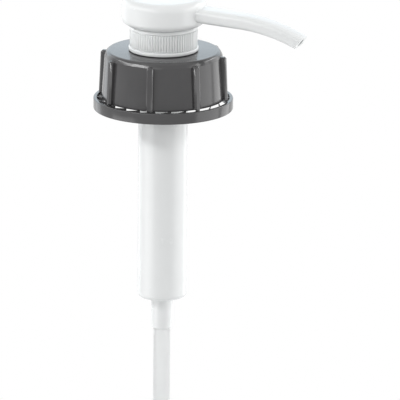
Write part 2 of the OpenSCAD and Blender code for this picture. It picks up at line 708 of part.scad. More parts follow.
// White pump head: hollow drum, hub with lock lugs, and the nozzle
module head_body() {
    head_r = head_d / 2;
    wall_in = head_r - head_wall;
    floor_in = head_foot + head_wall;
    seat_in = mouth_r - head_wall / 2;
    seat_foot = cover_z - head_wall / 2;
    rim_centre = [head_r - head_rim_round, head_top - head_rim_round];
    rim_in_r = head_rim_round - head_wall;
    rim_from = asin(max(0, (seat_foot - rim_centre.y) / rim_in_r));
    color("white") difference() {
        union() {
            turned(concat(
                [[hub_r - root, head_foot]],
                arc([head_r - head_foot_round, head_foot + head_foot_round], head_foot_round, -90, 0, 10),
                arc(rim_centre, head_rim_round, 0, 90, 10),
                [[mouth_r, head_top], [mouth_r, cover_z], [seat_in, cover_z], [seat_in, seat_foot]],
                arc(rim_centre, rim_in_r, rim_from, 0),
                arc([head_r - head_foot_round, head_foot + head_foot_round], head_foot_round - head_wall, 0, -90),
                [[hub_r - root, floor_in]]));
            ring(hub_r, chamber_r, hub_foot, cover_z - hub_foot);
            for (side = [90, 270]) sector(lug_r, hub_r - root, hub_foot, lug_h, side, lug_arc);
            nozzle_outside();
            translate([hub_r - root, 0, nozzle_z]) rotate([0, 90, 0])
                cylinder(d = duct_d, h = wall_in - hub_r + 2 * root);
        }
        channel();
        translate([0, 0, hub_foot - root]) cylinder(r = stem_r + press_gap, h = stem_top + stack_gap - hub_foot + root);
    }
}

// White disc that closes the head, with a thumb dish above, the ball's stop below, and room for the duct
module head_cover() {
    rim_r = mouth_r - press_gap;
    snap_r = rim_r - head_wall / 2;
    plug_r = chamber_r - press_gap;
    dish_r = rim_r - head_wall;
    dish_curve = (dish_r * dish_r + dish_depth * dish_depth) / (2 * max(dish_depth, 0.01));
    dish_angle = asin(dish_r / dish_curve);
    color("white") difference() {
        turned(concat(
            [[0, cover_plug_z], [plug_r, cover_plug_z], [plug_r, cover_z], [snap_r - head_wall, cover_z],
             [snap_r - head_wall, cover_z - cover_snap_h], [snap_r, cover_z - cover_snap_h],
             [snap_r, cover_z], [rim_r, cover_z], [rim_r, head_top]],
            arc([0, head_top - dish_depth + dish_curve], dish_curve, dish_angle - 90, -90, 8)));
        translate([hub_r, 0, nozzle_z]) rotate([0, 90, 0]) cylinder(d = duct_d + head_gap, h = rim_r - hub_r);
    }
}

screw_cap();
tamper_ring();
cap_gasket();
neck_gasket();
collar();
housing();
stem_guide();
wiper_seal();
inlet_cage();
inlet_ball();
dip_tube();
return_spring();
spring_follower();
piston_core();
piston_seal();
stem();
stem_foot();
outlet_seat();
outlet_ball();
head_body();
head_cover();
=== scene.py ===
import math

import bmesh
import bpy
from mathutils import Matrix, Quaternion, Vector


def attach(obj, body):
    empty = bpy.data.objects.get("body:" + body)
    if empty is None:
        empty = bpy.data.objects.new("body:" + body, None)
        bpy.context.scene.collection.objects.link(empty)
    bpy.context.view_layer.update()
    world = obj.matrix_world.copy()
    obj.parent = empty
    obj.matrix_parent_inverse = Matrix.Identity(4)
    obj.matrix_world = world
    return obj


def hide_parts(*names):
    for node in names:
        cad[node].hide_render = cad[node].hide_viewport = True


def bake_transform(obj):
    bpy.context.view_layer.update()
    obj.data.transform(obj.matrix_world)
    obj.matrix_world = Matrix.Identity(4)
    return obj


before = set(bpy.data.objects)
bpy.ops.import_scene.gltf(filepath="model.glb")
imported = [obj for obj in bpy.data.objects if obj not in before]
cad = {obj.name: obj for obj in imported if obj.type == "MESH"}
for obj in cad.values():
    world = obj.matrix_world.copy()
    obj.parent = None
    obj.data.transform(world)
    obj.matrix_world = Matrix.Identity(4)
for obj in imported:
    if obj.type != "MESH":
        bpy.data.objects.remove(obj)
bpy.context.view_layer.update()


# Pump cylinder
# A long white tube of moulded polypropylene that hangs below the cap, inside the canister.
# Its flange is clamped on the cap's neck, and the spigot at its foot holds the dip tube.
mm = 0.001
weld = 0.002 * mm  # points nearer to each other than this become one
crease = math.radians(35)  # edges that turn by more than this stay sharp
fine_edge = 0.2 * mm  # this and the next three are roundings of moulded edges
edge = 0.3 * mm
soft_edge = 0.4 * mm
full_edge = 0.5 * mm
press_gap = 0.03 * mm
bore_r = 12.3 * mm
cylinder_r = 13.6 * mm
cylinder_flange_r = 15.75 * mm
cylinder_top = 17.5 * mm
cylinder_flange_z = 15.9 * mm
cylinder_floor = -132.0 * mm
cylinder_foot = -134.6 * mm
cylinder_foot_round = 2.4 * mm
spigot_r = 5.63 * mm
spigot_head_r = 5.98 * mm
spigot_foot = -152.4 * mm
dip_held_r = 4.25 * mm
dip_bore_r = 3.25 * mm
dip_top = -137.2 * mm
inlet_cone_r = 5.07 * mm


class Flow:
    """One output of a node. Arithmetic on it adds Math nodes to the same tree."""

    def __init__(self, socket):
        self.socket = socket

    def other(self, name):
        """Another output of the same node."""
        return Flow(self.socket.node.outputs[name])

    def maths(self, operation, second=0.0):
        """A Math node on this value, and on a second one where the operation takes two."""
        tree = self.socket.id_data
        return add_node(tree, "ShaderNodeMath", {"operation": operation}, {0: self, 1: second})

    def __add__(self, value):
        return self.maths("ADD", value)

    def __radd__(self, value):
        return self + value

    def __sub__(self, value):
        return self.maths("SUBTRACT", value)

    def __rsub__(self, value):
        return self * -1 + value

    def __mul__(self, value):
        return self.maths("MULTIPLY", value)

    def __rmul__(self, value):
        return self * value

    def __truediv__(self, value):
        return self.maths("DIVIDE", value)

    def __gt__(self, value):
        return self.maths("GREATER_THAN", value)

    def __lt__(self, value):
        return self.maths("LESS_THAN", value)

    def held(self):
        """The value, kept between nothing and one."""
        return self.maths("MAXIMUM", 0.0).maths("MINIMUM", 1.0)


def add_node(tree, kind, settings, sockets, out=0):
    """A node of any kind: its settings come first, then the value or the link of each socket."""
    made = tree.nodes.new(kind)
    for name, value in settings.items():
        setattr(made, name, value)
    for key, value in sockets.items():
        if isinstance(value, Flow):
            tree.links.new(value.socket, made.inputs[key])
        else:
            made.inputs[key].default_value = value
    return Flow(made.outputs[out])


def rounded_outline(corners, steps):
    """A closed profile of radius and height from its corners, each with the radius that rounds it off."""
    points = []
    for i, (r, z, rounding) in enumerate(corners):
        here = Vector((r, z))
        if rounding == 0:
            points.append(here)
            continue
        before = (Vector(corners[i - 1][:2]) - here).normalized()
        after = (Vector(corners[(i + 1) % len(corners)][:2]) - here).normalized()
        half = before.angle(after) / 2
        reach = rounding / math.tan(half)
        centre = here + (before + after).normalized() * (rounding / math.sin(half))
        start = here + before * reach - centre
        turn = (here + after * reach - centre).angle_signed(start)
        for k in range(steps + 1):
            a = turn * k / steps
            points.append(centre + Vector((start.x * math.cos(a) - start.y * math.sin(a),
                                           start.x * math.sin(a) + start.y * math.cos(a))))
    return points + points[:1]


def profile_mesh(points):
    """A profile as a row of loose points, at their radius along X and their height along Z."""
    mesh = bpy.data.meshes.new("profile")
    mesh.from_pydata([(p.x, 0, p.y) for p in points], [], [])
    return mesh


def new_tree(name, sizes):
    """A node tree with a geometry going in and out, and a named input for each size and the material."""
    tree = bpy.data.node_groups.new(name, "GeometryNodeTree")
    tree.interface.new_socket("Geometry", in_out="INPUT", socket_type="NodeSocketGeometry")
    for size, kind in sizes.items():
        tree.interface.new_socket(size, in_out="INPUT", socket_type=kind)
    tree.interface.new_socket("Material", in_out="INPUT", socket_type="NodeSocketMaterial")
    tree.interface.new_socket("Geometry", in_out="OUTPUT", socket_type="NodeSocketGeometry")
    return tree, add_node(tree, "NodeGroupInput", {}, {})


def close_tree(tree, entry, geometry):
    """The end of every tree: copies made real, the material set, and the output."""
    real = add_node(tree, "GeometryNodeRealizeInstances", {}, {0: geometry})
    finished = add_node(tree, "GeometryNodeSetMaterial", {}, {
        "Geometry": real, "Material": entry.other("Material")})
    out = tree.nodes.new("NodeGroupOutput")
    tree.links.new(finished.socket, out.inputs[0])


def point_grid(tree, rows, columns):
    """A grid for a tree to bend into shape, with the row and the column of each of its points."""
    grid = add_node(tree, "GeometryNodeMeshGrid", {}, {"Vertices X": rows, "Vertices Y": columns})
    index = add_node(tree, "GeometryNodeInputIndex", {}, {})
    row = ((index + 0.5) / columns).maths("FLOOR")
    return grid, row, index - row * columns


def outline_point(tree, entry, number):
    """The place of one point, by its number, of the outline that goes into a tree."""
    place = add_node(tree, "GeometryNodeInputPosition", {}, {})
    point = add_node(tree, "GeometryNodeSampleIndex", {"data_type": "FLOAT_VECTOR", "domain": "POINT"}, {
        "Geometry": entry.other("Geometry"), "Value": place, "Index": number})
    return add_node(tree, "ShaderNodeSeparateXYZ", {}, {0: point})


def close_grid(tree, entry, grid, x, y, z):
    """Puts a grid's points in their places, welds its seams, and ends the tree."""
    place = add_node(tree, "ShaderNodeCombineXYZ", {}, {"X": x, "Y": y, "Z": z})
    skin = add_node(tree, "GeometryNodeSetPosition", {}, {"Geometry": grid, "Position": place})
    whole = add_node(tree, "GeometryNodeMergeByDistance", {}, {"Geometry": skin, "Distance": weld})
    close_tree(tree, entry, whole)


def turned_tree():
    """Turns a profile about the axis. Knurls are ridges along the axis, on every point of the profile
    between two heights, so on a bore's points there too. The half width of a knurl's foot and the width
    of its flank are shares of the knurls' spacing."""
    half_foot = 0.4
    flank = 0.125
    tree, entry = new_tree("turned piece", {
        "Profile points": "NodeSocketInt", "Steps round": "NodeSocketInt",
        "Knurls": "NodeSocketInt", "Knurl height": "NodeSocketFloat",
        "Knurl foot": "NodeSocketFloat", "Knurl head": "NodeSocketFloat"})
    steps = entry.other("Steps round")
    grid, row, column = point_grid(tree, entry.other("Profile points"), steps + 1)
    r = outline_point(tree, entry, row)
    z = r.other("Z")
    share = column / steps
    along = (share * entry.other("Knurls")).maths("FRACT")
    ridge = ((half_foot - (along - 0.5).maths("ABSOLUTE")) / flank).held()
    knurled = (z > entry.other("Knurl foot")) * (z < entry.other("Knurl head"))
    reach = r + ridge * knurled * entry.other("Knurl height")
    angle = share * (2 * math.pi)
    close_grid(tree, entry, grid, reach * angle.maths("COSINE"), reach * angle.maths("SINE"), z)
    return tree


def smooth_faces(mesh):
    """Smooths all but the sharp edges."""
    mesh.shade_smooth()
    mesh.set_sharp_from_angle(angle=crease)


def face_outwards(mesh):
    """Merges doubled points, turns all faces outwards, and smooths them."""
    loose = bmesh.new()
    loose.from_mesh(mesh)
    bmesh.ops.remove_doubles(loose, verts=loose.verts, dist=weld)
    bmesh.ops.dissolve_degenerate(loose, edges=loose.edges, dist=weld / 2)
    bmesh.ops.recalc_face_normals(loose, faces=loose.faces)
    loose.to_mesh(mesh)
    loose.free()
    smooth_faces(mesh)


def run_tree(name, source, tree, sizes, finish):
    """Runs a node tree on a mesh and returns the result as a plain object, closed and facing outwards."""
    piece = bpy.data.objects.new(name, source)
    bpy.context.scene.collection.objects.link(piece)
    modifier = piece.modifiers.new("shape", "NODES")
    modifier.node_group = tree
    values = {**sizes, "Material": finish}
    for item in tree.interface.items_tree:
        if item.in_out == "INPUT" and item.name in values:
            modifier[item.identifier] = values[item.name]
    evaluated = piece.evaluated_get(bpy.context.evaluated_depsgraph_get())
    plain = bpy.data.meshes.new_from_object(evaluated)
    piece.modifiers.remove(modifier)
    plain.materials.clear()
    plain.materials.append(finish)
    piece.data = plain
    face_outwards(plain)
    return piece


turning = turned_tree()


def turned_piece(name, corners, finish, steps, rounding_steps=6, **knurls):
    """One piece turned from rounded corners. The knurls, if any, are given by their inputs' names."""
    points = rounded_outline(corners, rounding_steps)
    sizes = {"Profile points": len(points), "Steps round": steps, "Knurls": 0, "Knurl height": 0.0,
             "Knurl foot": 0.0, "Knurl head": 0.0}
    sizes.update({key.replace("_", " ").capitalize(): value for key, value in knurls.items()})
    return run_tree(name, profile_mesh(points), turning, sizes, finish)


def new_finish(name):
    """A new material, its node tree, and the place on the object that its patterns read."""
    finish = bpy.data.materials.new(name)
    finish.use_nodes = True
    tree = finish.node_tree
    return finish, tree, add_node(tree, "ShaderNodeTexCoord", {}, {}, "Object")


def noise(tree, place, scale, detail):
    """A cloudy pattern with values round a half."""
    return add_node(tree, "ShaderNodeTexNoise", {}, {"Vector": place, "Scale": scale, "Detail": detail})


def between(tree, share, first, second):
    """A colour between two. A Mix node has its colours in sockets 6 and 7, and the result in output 2."""
    return add_node(tree, "ShaderNodeMix", {"data_type": "RGBA"}, {
        "Factor": share, 6: (*first, 1), 7: (*second, 1)}, 2)


def feed_shader(tree, colour, rough, height, strength, depth):
    """Gives a material's shader its colour, its roughness and its bumps, and returns the shader."""
    bump = add_node(tree, "ShaderNodeBump", {}, {"Strength": strength, "Distance": depth, "Height": height})
    shader = tree.nodes["Principled BSDF"]
    for key, value in (("Base Color", colour), ("Roughness", rough), ("Normal", bump)):
        tree.links.new(value.socket, shader.inputs[key])
    return shader


def moulded_plastic(name, colour, tint, roughness, grain, clearness=0.0):
    """Moulded plastic: faint clouds of a second colour, uneven gloss, and the fine grain of the mould."""
    finish, tree, place = new_finish(name)
    clouds = noise(tree, place, scale=60.0, detail=3.0)
    specks = noise(tree, place, scale=540.0, detail=2.0)
    pits = noise(tree, place, scale=2600.0, detail=2.0)
    cloud_contrast = 1.6
    cloud_gloss = 0.5 * roughness
    speck_gloss = 0.4 * roughness
    clouded = between(tree, ((clouds - 0.5) * cloud_contrast + 0.5).held(), colour, tint)
    rough = roughness + (clouds - 0.5) * cloud_gloss + (specks - 0.5) * speck_gloss
    shader = feed_shader(tree, clouded, rough, pits, strength=grain, depth=0.02 * mm)
    shader.inputs["Transmission Weight"].default_value = clearness
    return finish


white_plastic = moulded_plastic("white polypropylene", (0.88, 0.895, 0.895), (0.85, 0.865, 0.865),
                                roughness=0.24, grain=0.012)

cylinder = turned_piece("cylinder", [
    (dip_bore_r, dip_top, 0), (dip_bore_r, cylinder_foot, 0), (inlet_cone_r, cylinder_floor, 0),
    (bore_r, cylinder_floor, soft_edge), (bore_r, cylinder_top, edge),
    (cylinder_flange_r, cylinder_top, edge), (cylinder_flange_r, cylinder_flange_z, edge),
    (cylinder_r, cylinder_flange_z, edge), (cylinder_r, cylinder_foot, cylinder_foot_round),
    (spigot_head_r, cylinder_foot, full_edge), (spigot_r, spigot_foot, soft_edge),
    (dip_held_r + press_gap, spigot_foot, fine_edge), (dip_held_r + press_gap, dip_top, 0)],
    white_plastic, steps=160)
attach(cylinder, "pump")
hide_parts("housing")


# Dip tube
# A length of natural polythene tube, milky and clear enough to show its edges darker.
# It is squeezed into the spigot, and its far end is cut on the slant so that it can't seal on the floor.
dip_r = 4.5 * mm
dip_foot = -295.0 * mm
dip_gap = 0.1 * mm
dip_shoulder = 1.0 * mm
dip_slant = math.tan(math.radians(30))
haze_tint = (0.78, 0.80, 0.80, 1)
haze_density = 100.0

milky_plastic = moulded_plastic("natural polythene", (0.99, 0.995, 0.995), (0.98, 0.985, 0.985),
                                roughness=0.34, grain=0.004, clearness=0.92)
milky_tree = milky_plastic.node_tree
haze = add_node(milky_tree, "ShaderNodeVolumeAbsorption", {}, {"Color": haze_tint, "Density": haze_density})
milky_tree.links.new(haze.socket, milky_tree.nodes["Material Output"].inputs["Volume"])

dip_tube = turned_piece("suction_tube", [
    (dip_bore_r, dip_foot, 0), (dip_bore_r, dip_top - dip_gap, 0), (dip_held_r, dip_top - dip_gap, edge),
    (dip_held_r, spigot_foot, edge), (dip_r, spigot_foot - dip_shoulder, edge), (dip_r, dip_foot, 0)],
    milky_plastic, steps=64)
for vertex in dip_tube.data.vertices:
    if vertex.co.z < dip_foot + weld:
        vertex.co.z += (dip_r - vertex.co.x) * dip_slant
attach(dip_tube, "pump")
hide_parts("dip_tube")


# Inlet valve
# A cage of natural polypropylene, clipped on the cylinder's floor, keeps a steel ball near its cone seat.
# The ball lifts as the head rises and drops back to stop the liquid from running down the tube.
def drawn_steel(name, colour, roughness):
    """Bright stainless steel, with fine marks from drawing or rolling and a little unevenness."""
    finish, tree, place = new_finish(name)
    marks = noise(tree, place, scale=900.0, detail=4.0)
    stains = noise(tree, place, scale=120.0, detail=2.0)
    stained = between(tree, stains, colour, [0.8 * c for c in colour])
    mark_gloss = 0.12
    rough = roughness + (marks - 0.5) * mark_gloss
    shader = feed_shader(tree, stained, rough, marks, strength=0.12, depth=0.01 * mm)
    shader.inputs["Metallic"].default_value = 1.0
    return finish


def dress(node, finish):
    """Gives its finish to a piece that keeps its solid's own shape."""
    cad[node].data.materials.clear()
    cad[node].data.materials.append(finish)


ball_steel = drawn_steel("ball steel", (0.66, 0.66, 0.67), roughness=0.16)
natural_white = moulded_plastic("natural polypropylene", (0.80, 0.81, 0.79), (0.74, 0.755, 0.735),
                                roughness=0.38, grain=0.12)
dress("inlet_ball", ball_steel)
dress("inlet_cage", natural_white)


# Return spring
# A coil of stainless wire low in the cylinder, which lifts the piston after each push.
# Its lower end stands on the inlet cage and its upper end goes with the spring follower.
wire_r = 0.8 * mm
wire_sides = 10
coil_r = 9.2 * mm
coil_foot = -130.5 * mm
coil_turns = 13
coil_rise = 2.2 * mm


def wound_tree():
    """Winds a section about the axis as a coil or a thread, tapering it off at both ends."""
    tree, entry = new_tree("wound piece", {
        "Section points": "NodeSocketInt", "Steps": "NodeSocketInt", "Turns": "NodeSocketFloat",
        "Rise": "NodeSocketFloat", "Root radius": "NodeSocketFloat", "Foot": "NodeSocketFloat",
        "Lead-in steps": "NodeSocketFloat"})
    steps = entry.other("Steps")
    grid, row, column = point_grid(tree, entry.other("Section points"), steps + 1)
    out = outline_point(tree, entry, row)
    grown = (column.maths("MINIMUM", steps - column) / entry.other("Lead-in steps")).held()
    turns = column / steps * entry.other("Turns")
    reach = entry.other("Root radius") + out * grown
    height = entry.other("Foot") + out.other("Z") * grown + turns * entry.other("Rise")
    angle = turns * (2 * math.pi)
    close_grid(tree, entry, grid, reach * angle.maths("COSINE"), reach * angle.maths("SINE"), height)
    return tree


winding = wound_tree()


def wound_piece(name, section, finish, root_r, foot, turns, rise, steps_a_turn, lead_in):
    """One coil or thread from the outline of its section, given from the middle of its root."""
    points = [Vector(p) for p in section] + [Vector(section[0])]
    return run_tree(name, profile_mesh(points), winding, {
        "Section points": len(points), "Steps": int(turns * steps_a_turn), "Turns": float(turns),
        "Rise": rise, "Root radius": root_r, "Foot": foot, "Lead-in steps": float(lead_in)}, finish)


spring_steel = drawn_steel("spring steel", (0.60, 0.60, 0.61), roughness=0.24)
wire_angles = [2 * math.pi * k / wire_sides for k in range(wire_sides)]
wire_section = [(wire_r * math.cos(a), wire_r * math.sin(a)) for a in wire_angles]
spring = wound_piece("return_spring_coil", wire_section, spring_steel, coil_r, coil_foot + wire_r,
                     coil_turns, coil_rise, steps_a_turn=40, lead_in=1)
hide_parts("return_spring")
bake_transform(spring)


# Piston and stem
# A soft grey seal on a stiff core slides in the bore, carried by the hollow polypropylene stem.
# The stem's foot plug keeps the piston on, and an insert at its top carries the outlet ball.
soft_grey = moulded_plastic("soft seal", (0.62, 0.63, 0.62), (0.55, 0.56, 0.55), roughness=0.55, grain=0.2)
dress("piston_core", white_plastic)
dress("piston_seal", soft_grey)
dress("spring_follower", natural_white)
dress("stem", white_plastic)
dress("stem_foot", natural_white)
dress("outlet_seat", natural_white)
dress("outlet_ball", ball_steel)


# Stem guide
# A moulding of white polypropylene, snapped into the cylinder's mouth. Its long bush guides the stem, its
# flange holds the collar on, and the two ledges in its cup lock the head down. A soft ring wipes the stem.
dress("stem_guide", white_plastic)
dress("wiper_seal", soft_grey)


# Screw cap
# A dark grey polythene cap for a canister's neck, with eight grip ribs down its skirt.
# The threaded neck in the middle of its top takes the collar, and its inner thread the canister.
cap_wall_r = 30.7 * mm
cap_top_r = 32.3 * mm
cap_foot_r = 34.0 * mm
cap_top = 5.1 * mm
cap_foot = -21.6 * mm
cap_plate_z = 2.0 * mm
cap_edge_drop = 2.8 * mm
cap_edge_z = cap_top - cap_edge_drop
cap_edge_r = cap_top_r + (cap_foot_r - cap_top_r) * cap_edge_drop / (cap_top - cap_foot)
cap_edge_round = 1.5 * mm
cap_facet = math.radians(27)
cap_plate_r = cap_edge_r - cap_edge_drop * math.tan(cap_facet)
cap_plate_round = 2.4 * mm
neck_r = 15.2 * mm
neck_bore_r = 14.1 * mm
neck_top = 14.9 * mm
rib_count = 8
rib_turn = math.radians(10.5)
rib_head = cap_top - 2.0 * mm
rib_half_w = 1.9 * mm
rib_root_r = cap_wall_r + 0.4 * mm
rib_head_r = 35.1 * mm
rib_foot_r = 36.1 * mm
rib_bevel = 0.9 * mm
can_ridge = 1.4 * mm
can_pitch = 6.0 * mm
can_turns = 1.5
neck_ridge = 1.1 * mm
neck_ridge_w = 1.607 * mm
neck_crest_w = 0.804 * mm
neck_pitch = 4.23 * mm
neck_turns = 1.25
neck_thread_z = 8.005 * mm
thread_steps = 48
thread_lead_in = 6

grey_plastic = moulded_plastic("grey polythene", (0.060, 0.059, 0.061), (0.072, 0.071, 0.073),
                               roughness=0.17, grain=0.02)


def ring_tree():
    """Sets copies of one piece evenly round the axis, the first at a given angle."""
    tree, entry = new_tree("pieces round the axis", {
        "Count": "NodeSocketInt", "First angle": "NodeSocketFloat"})
    count = entry.other("Count")
    spots = add_node(tree, "GeometryNodeMeshLine", {}, {"Count": count, "Offset": (0, 0, 0)})
    index = add_node(tree, "GeometryNodeInputIndex", {}, {})
    angle = entry.other("First angle") + index / count * (2 * math.pi)
    turn = add_node(tree, "ShaderNodeCombineXYZ", {}, {"Z": angle})
    facing = add_node(tree, "FunctionNodeEulerToRotation", {}, {0: turn})
    copies = add_node(tree, "GeometryNodeInstanceOnPoints", {}, {
        "Points": spots, "Instance": entry.other("Geometry"), "Rotation": facing})
    close_tree(tree, entry, copies)
    return tree


ringing = ring_tree()


def on_edge(point, across):
    """Stands an outline of radius and height on edge, at a distance across."""
    return point[0], across, point[1]


def lying(point, height):
    """Lays a plan flat at a height."""
    return point[0], point[1], height


def bevelled_prism(name, outline, placed, low, high, bevel, facets=3):
    """A closed prism from an outline, which is placed at a low and a high distance. All its edges are
    bevelled, in one or more facets."""
    solid = bmesh.new()
    ends = [[solid.verts.new(placed(p, side)) for p in outline] for side in (low, high)]
    solid.faces.new(ends[0])
    solid.faces.new(ends[1][::-1])
    for i in range(len(outline)):
        j = (i + 1) % len(outline)
        solid.faces.new((ends[0][i], ends[1][i], ends[1][j], ends[0][j]))
    bmesh.ops.bevel(solid, geom=solid.edges[:], offset=bevel, segments=facets, profile=0.5, affect="EDGES")
    mesh = bpy.data.meshes.new(name)
    solid.to_mesh(mesh)
    solid.free()
    face_outwards(mesh)
    return mesh


def joined(name, parts):
    """Several plain objects as one piece."""
    whole = bmesh.new()
    for part in parts:
        whole.from_mesh(part.data)
    mesh = bpy.data.meshes.new(name)
    whole.to_mesh(mesh)
    whole.free()
    mesh.materials.append(parts[0].data.materials[0])
    piece = bpy.data.objects.new(name, mesh)
    bpy.context.scene.collection.objects.link(piece)
    for part in parts:
        bpy.data.objects.remove(part)
    smooth_faces(mesh)
    return piece


def ridge_section(depth, foot_w, crest_w, outwards):
    """The section of a thread ridge, sunk a little into the wall that carries it."""
    sink = 0.3 * mm
    points = [(-sink, -foot_w / 2), (depth, -crest_w / 2), (depth, crest_w / 2), (-sink, foot_w / 2)]
    return points if outwards else [(-r, z) for r, z in points]


cap_shell = turned_piece("cap_shell", [
    (cap_wall_r, cap_foot, soft_edge), (cap_foot_r, cap_foot, full_edge),
    (cap_edge_r, cap_edge_z, cap_edge_round), (cap_plate_r, cap_top, cap_plate_round),
    (neck_r, cap_top, soft_edge), (neck_r, neck_top, edge), (neck_bore_r, neck_top, edge),
    (neck_bore_r, cap_plate_z, edge), (cap_wall_r, cap_plate_z, full_edge)],
    grey_plastic, steps=192, rounding_steps=8)
rib_side = [(rib_root_r, cap_foot), (rib_foot_r, cap_foot), (rib_head_r, rib_head), (rib_root_r, rib_head)]
rib = bevelled_prism("rib", rib_side, on_edge, -rib_half_w, rib_half_w, rib_bevel, facets=1)
ribs = run_tree("ribs", rib, ringing, {"Count": rib_count, "First angle": rib_turn}, grey_plastic)
can_section = ridge_section(can_ridge, can_pitch / 2, can_pitch / 5, outwards=False)
can_thread = wound_piece("can_thread", can_section, grey_plastic, cap_wall_r, cap_foot + can_pitch / 2,
                         can_turns, can_pitch, thread_steps, thread_lead_in)
neck_section = ridge_section(neck_ridge, neck_ridge_w, neck_crest_w, outwards=True)
neck_thread = wound_piece("neck_thread", neck_section, grey_plastic, neck_r, neck_thread_z,
                          neck_turns, neck_pitch, thread_steps, thread_lead_in)
screw_cap = joined("cap", [cap_shell, ribs, can_thread, neck_thread])
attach(screw_cap, "cap")
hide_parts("screw_cap")


# Tamper ring
# A thin ring moulded with the cap and held below its skirt by leaning webs, with a lip inside.
# The webs tear as the cap is first unscrewed, and light shows between them.
sharp_edge = 0.1 * mm
ring_in_r = 36.4 * mm
ring_out_r = 38.38 * mm
ring_foot = -27.7 * mm
ring_lip_r = 35.0 * mm
ring_lip_z = ring_foot + 0.6 * mm
ring_lip_root = ring_foot + 1.2 * mm
web_count = 24
web_h = 1.5 * mm
web_half_t = 0.45 * mm
web_in_r = 33.0 * mm
web_out_r = 36.8 * mm
web_half_lean = math.radians(4.5)
web_bevel = 0.12 * mm

ring_band = turned_piece("ring_band", [
    (ring_in_r, cap_foot, edge), (ring_in_r, ring_lip_root, fine_edge),
    (ring_lip_r, ring_lip_z, sharp_edge), (ring_lip_r, ring_foot, fine_edge),
    (ring_out_r, ring_foot, full_edge), (ring_out_r, cap_foot, full_edge)], grey_plastic, steps=192)


def web_corner(r, lean, side):
    """A corner of a web in plan: at a radius, turned by its lean, and half a thickness to one side."""
    a = lean + side * web_half_t / r
    return r * math.cos(a), r * math.sin(a)


web_plan = [web_corner(web_in_r, web_half_lean, -1), web_corner(web_out_r, -web_half_lean, -1),
            web_corner(web_out_r, -web_half_lean, 1), web_corner(web_in_r, web_half_lean, 1)]
web = bevelled_prism("web", web_plan, lying, cap_foot - web_h, cap_foot, web_bevel)
webs = run_tree("webs", web, ringing, {"Count": web_count, "First angle": rib_turn}, grey_plastic)
tamper_ring = joined("tear_off_ring", [ring_band, webs])
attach(tamper_ring, "cap")
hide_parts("tamper_ring")


# Gaskets
# Two washers cut from white foamed polythene. One lies under the cap's top and seals on the canister's
# rim, and the other is squeezed between the cap's neck and the cylinder's flange.
def foam_sheet(name, colour):
    """Cut foam: closed cells a fraction of a millimetre across, with a matt skin."""
    finish, tree, place = new_finish(name)
    cells = add_node(tree, "ShaderNodeTexVoronoi", {}, {"Vector": place, "Scale": 1800.0})
    celled = between(tree, cells.held(), [0.85 * c for c in colour], colour)
    roughness = 0.7
    cell_gloss = 0.2
    feed_shader(tree, celled, roughness + cells * cell_gloss, cells, strength=0.4, depth=0.1 * mm)
    return finish


white_foam = foam_sheet("white foam", (0.80, 0.80, 0.78))
dress("cap_gasket", white_foam)
dress("neck_gasket", white_foam)


# Collar
# A screw collar of white polypropylene, with fine knurls between the bead at its foot and a smooth band.
# Its inner ledge clamps the cylinder's flange on the neck as it is screwed down. The knurls' heights take
# in the bore's rounding under that ledge too, so flutes run down the bore from there and fade out.
collar_bore_r = 16.5 * mm
collar_r = 17.9 * mm
collar_foot = 5.4 * mm
collar_top = 19.6 * mm
bead_r = 19.3 * mm
bead_top = collar_foot + 2.0 * mm
bead_round = 0.7 * mm
band_r = 18.8 * mm
band_z = collar_top - 2.0 * mm
band_round = 1.0 * mm
collar_wall_foot = bead_top + 0.1 * mm
collar_wall_round = 0.15 * mm
collar_ledge_r = 12.95 * mm
collar_ledge_z = 17.6 * mm
collar_rebate_r = 14.65 * mm
collar_rebate_z = 18.8 * mm
knurl_count = 76
knurl_steps = 8
knurl_height = 0.8 * mm
knurl_low = bead_top + 0.6 * mm
knurl_high = band_z - 0.5 * mm
knurl_foot = bead_top + 0.35 * mm
knurl_head = band_z - 0.2 * mm
flank_gap = 0.3 * mm
collar_thread_z = neck_thread_z - neck_ridge_w - flank_gap

collar_shell = turned_piece("collar_shell", [
    (collar_bore_r, collar_foot, edge), (bead_r, collar_foot, bead_round), (bead_r, bead_top, bead_round),
    (collar_r, collar_wall_foot, collar_wall_round), (collar_r, knurl_low, 0), (collar_r, knurl_high, 0),
    (collar_r, band_z, sharp_edge), (band_r, band_z, fine_edge), (band_r, collar_top, band_round),
    (collar_rebate_r, collar_top, fine_edge), (collar_rebate_r, collar_rebate_z, 0),
    (collar_ledge_r, collar_rebate_z, fine_edge), (collar_ledge_r, collar_ledge_z, fine_edge),
    (collar_bore_r, collar_ledge_z, edge)],
    white_plastic, steps=knurl_count * knurl_steps, rounding_steps=5,
    knurls=knurl_count, knurl_height=knurl_height, knurl_foot=knurl_foot, knurl_head=knurl_head)
collar_section = ridge_section(neck_ridge, neck_ridge_w, neck_crest_w, outwards=False)
collar_thread = wound_piece("collar_thread", collar_section, white_plastic, collar_bore_r, collar_thread_z,
                            neck_turns, neck_pitch, thread_steps, thread_lead_in)
collar = joined("screw_collar", [collar_shell, collar_thread])
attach(collar, "collar")
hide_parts("collar")


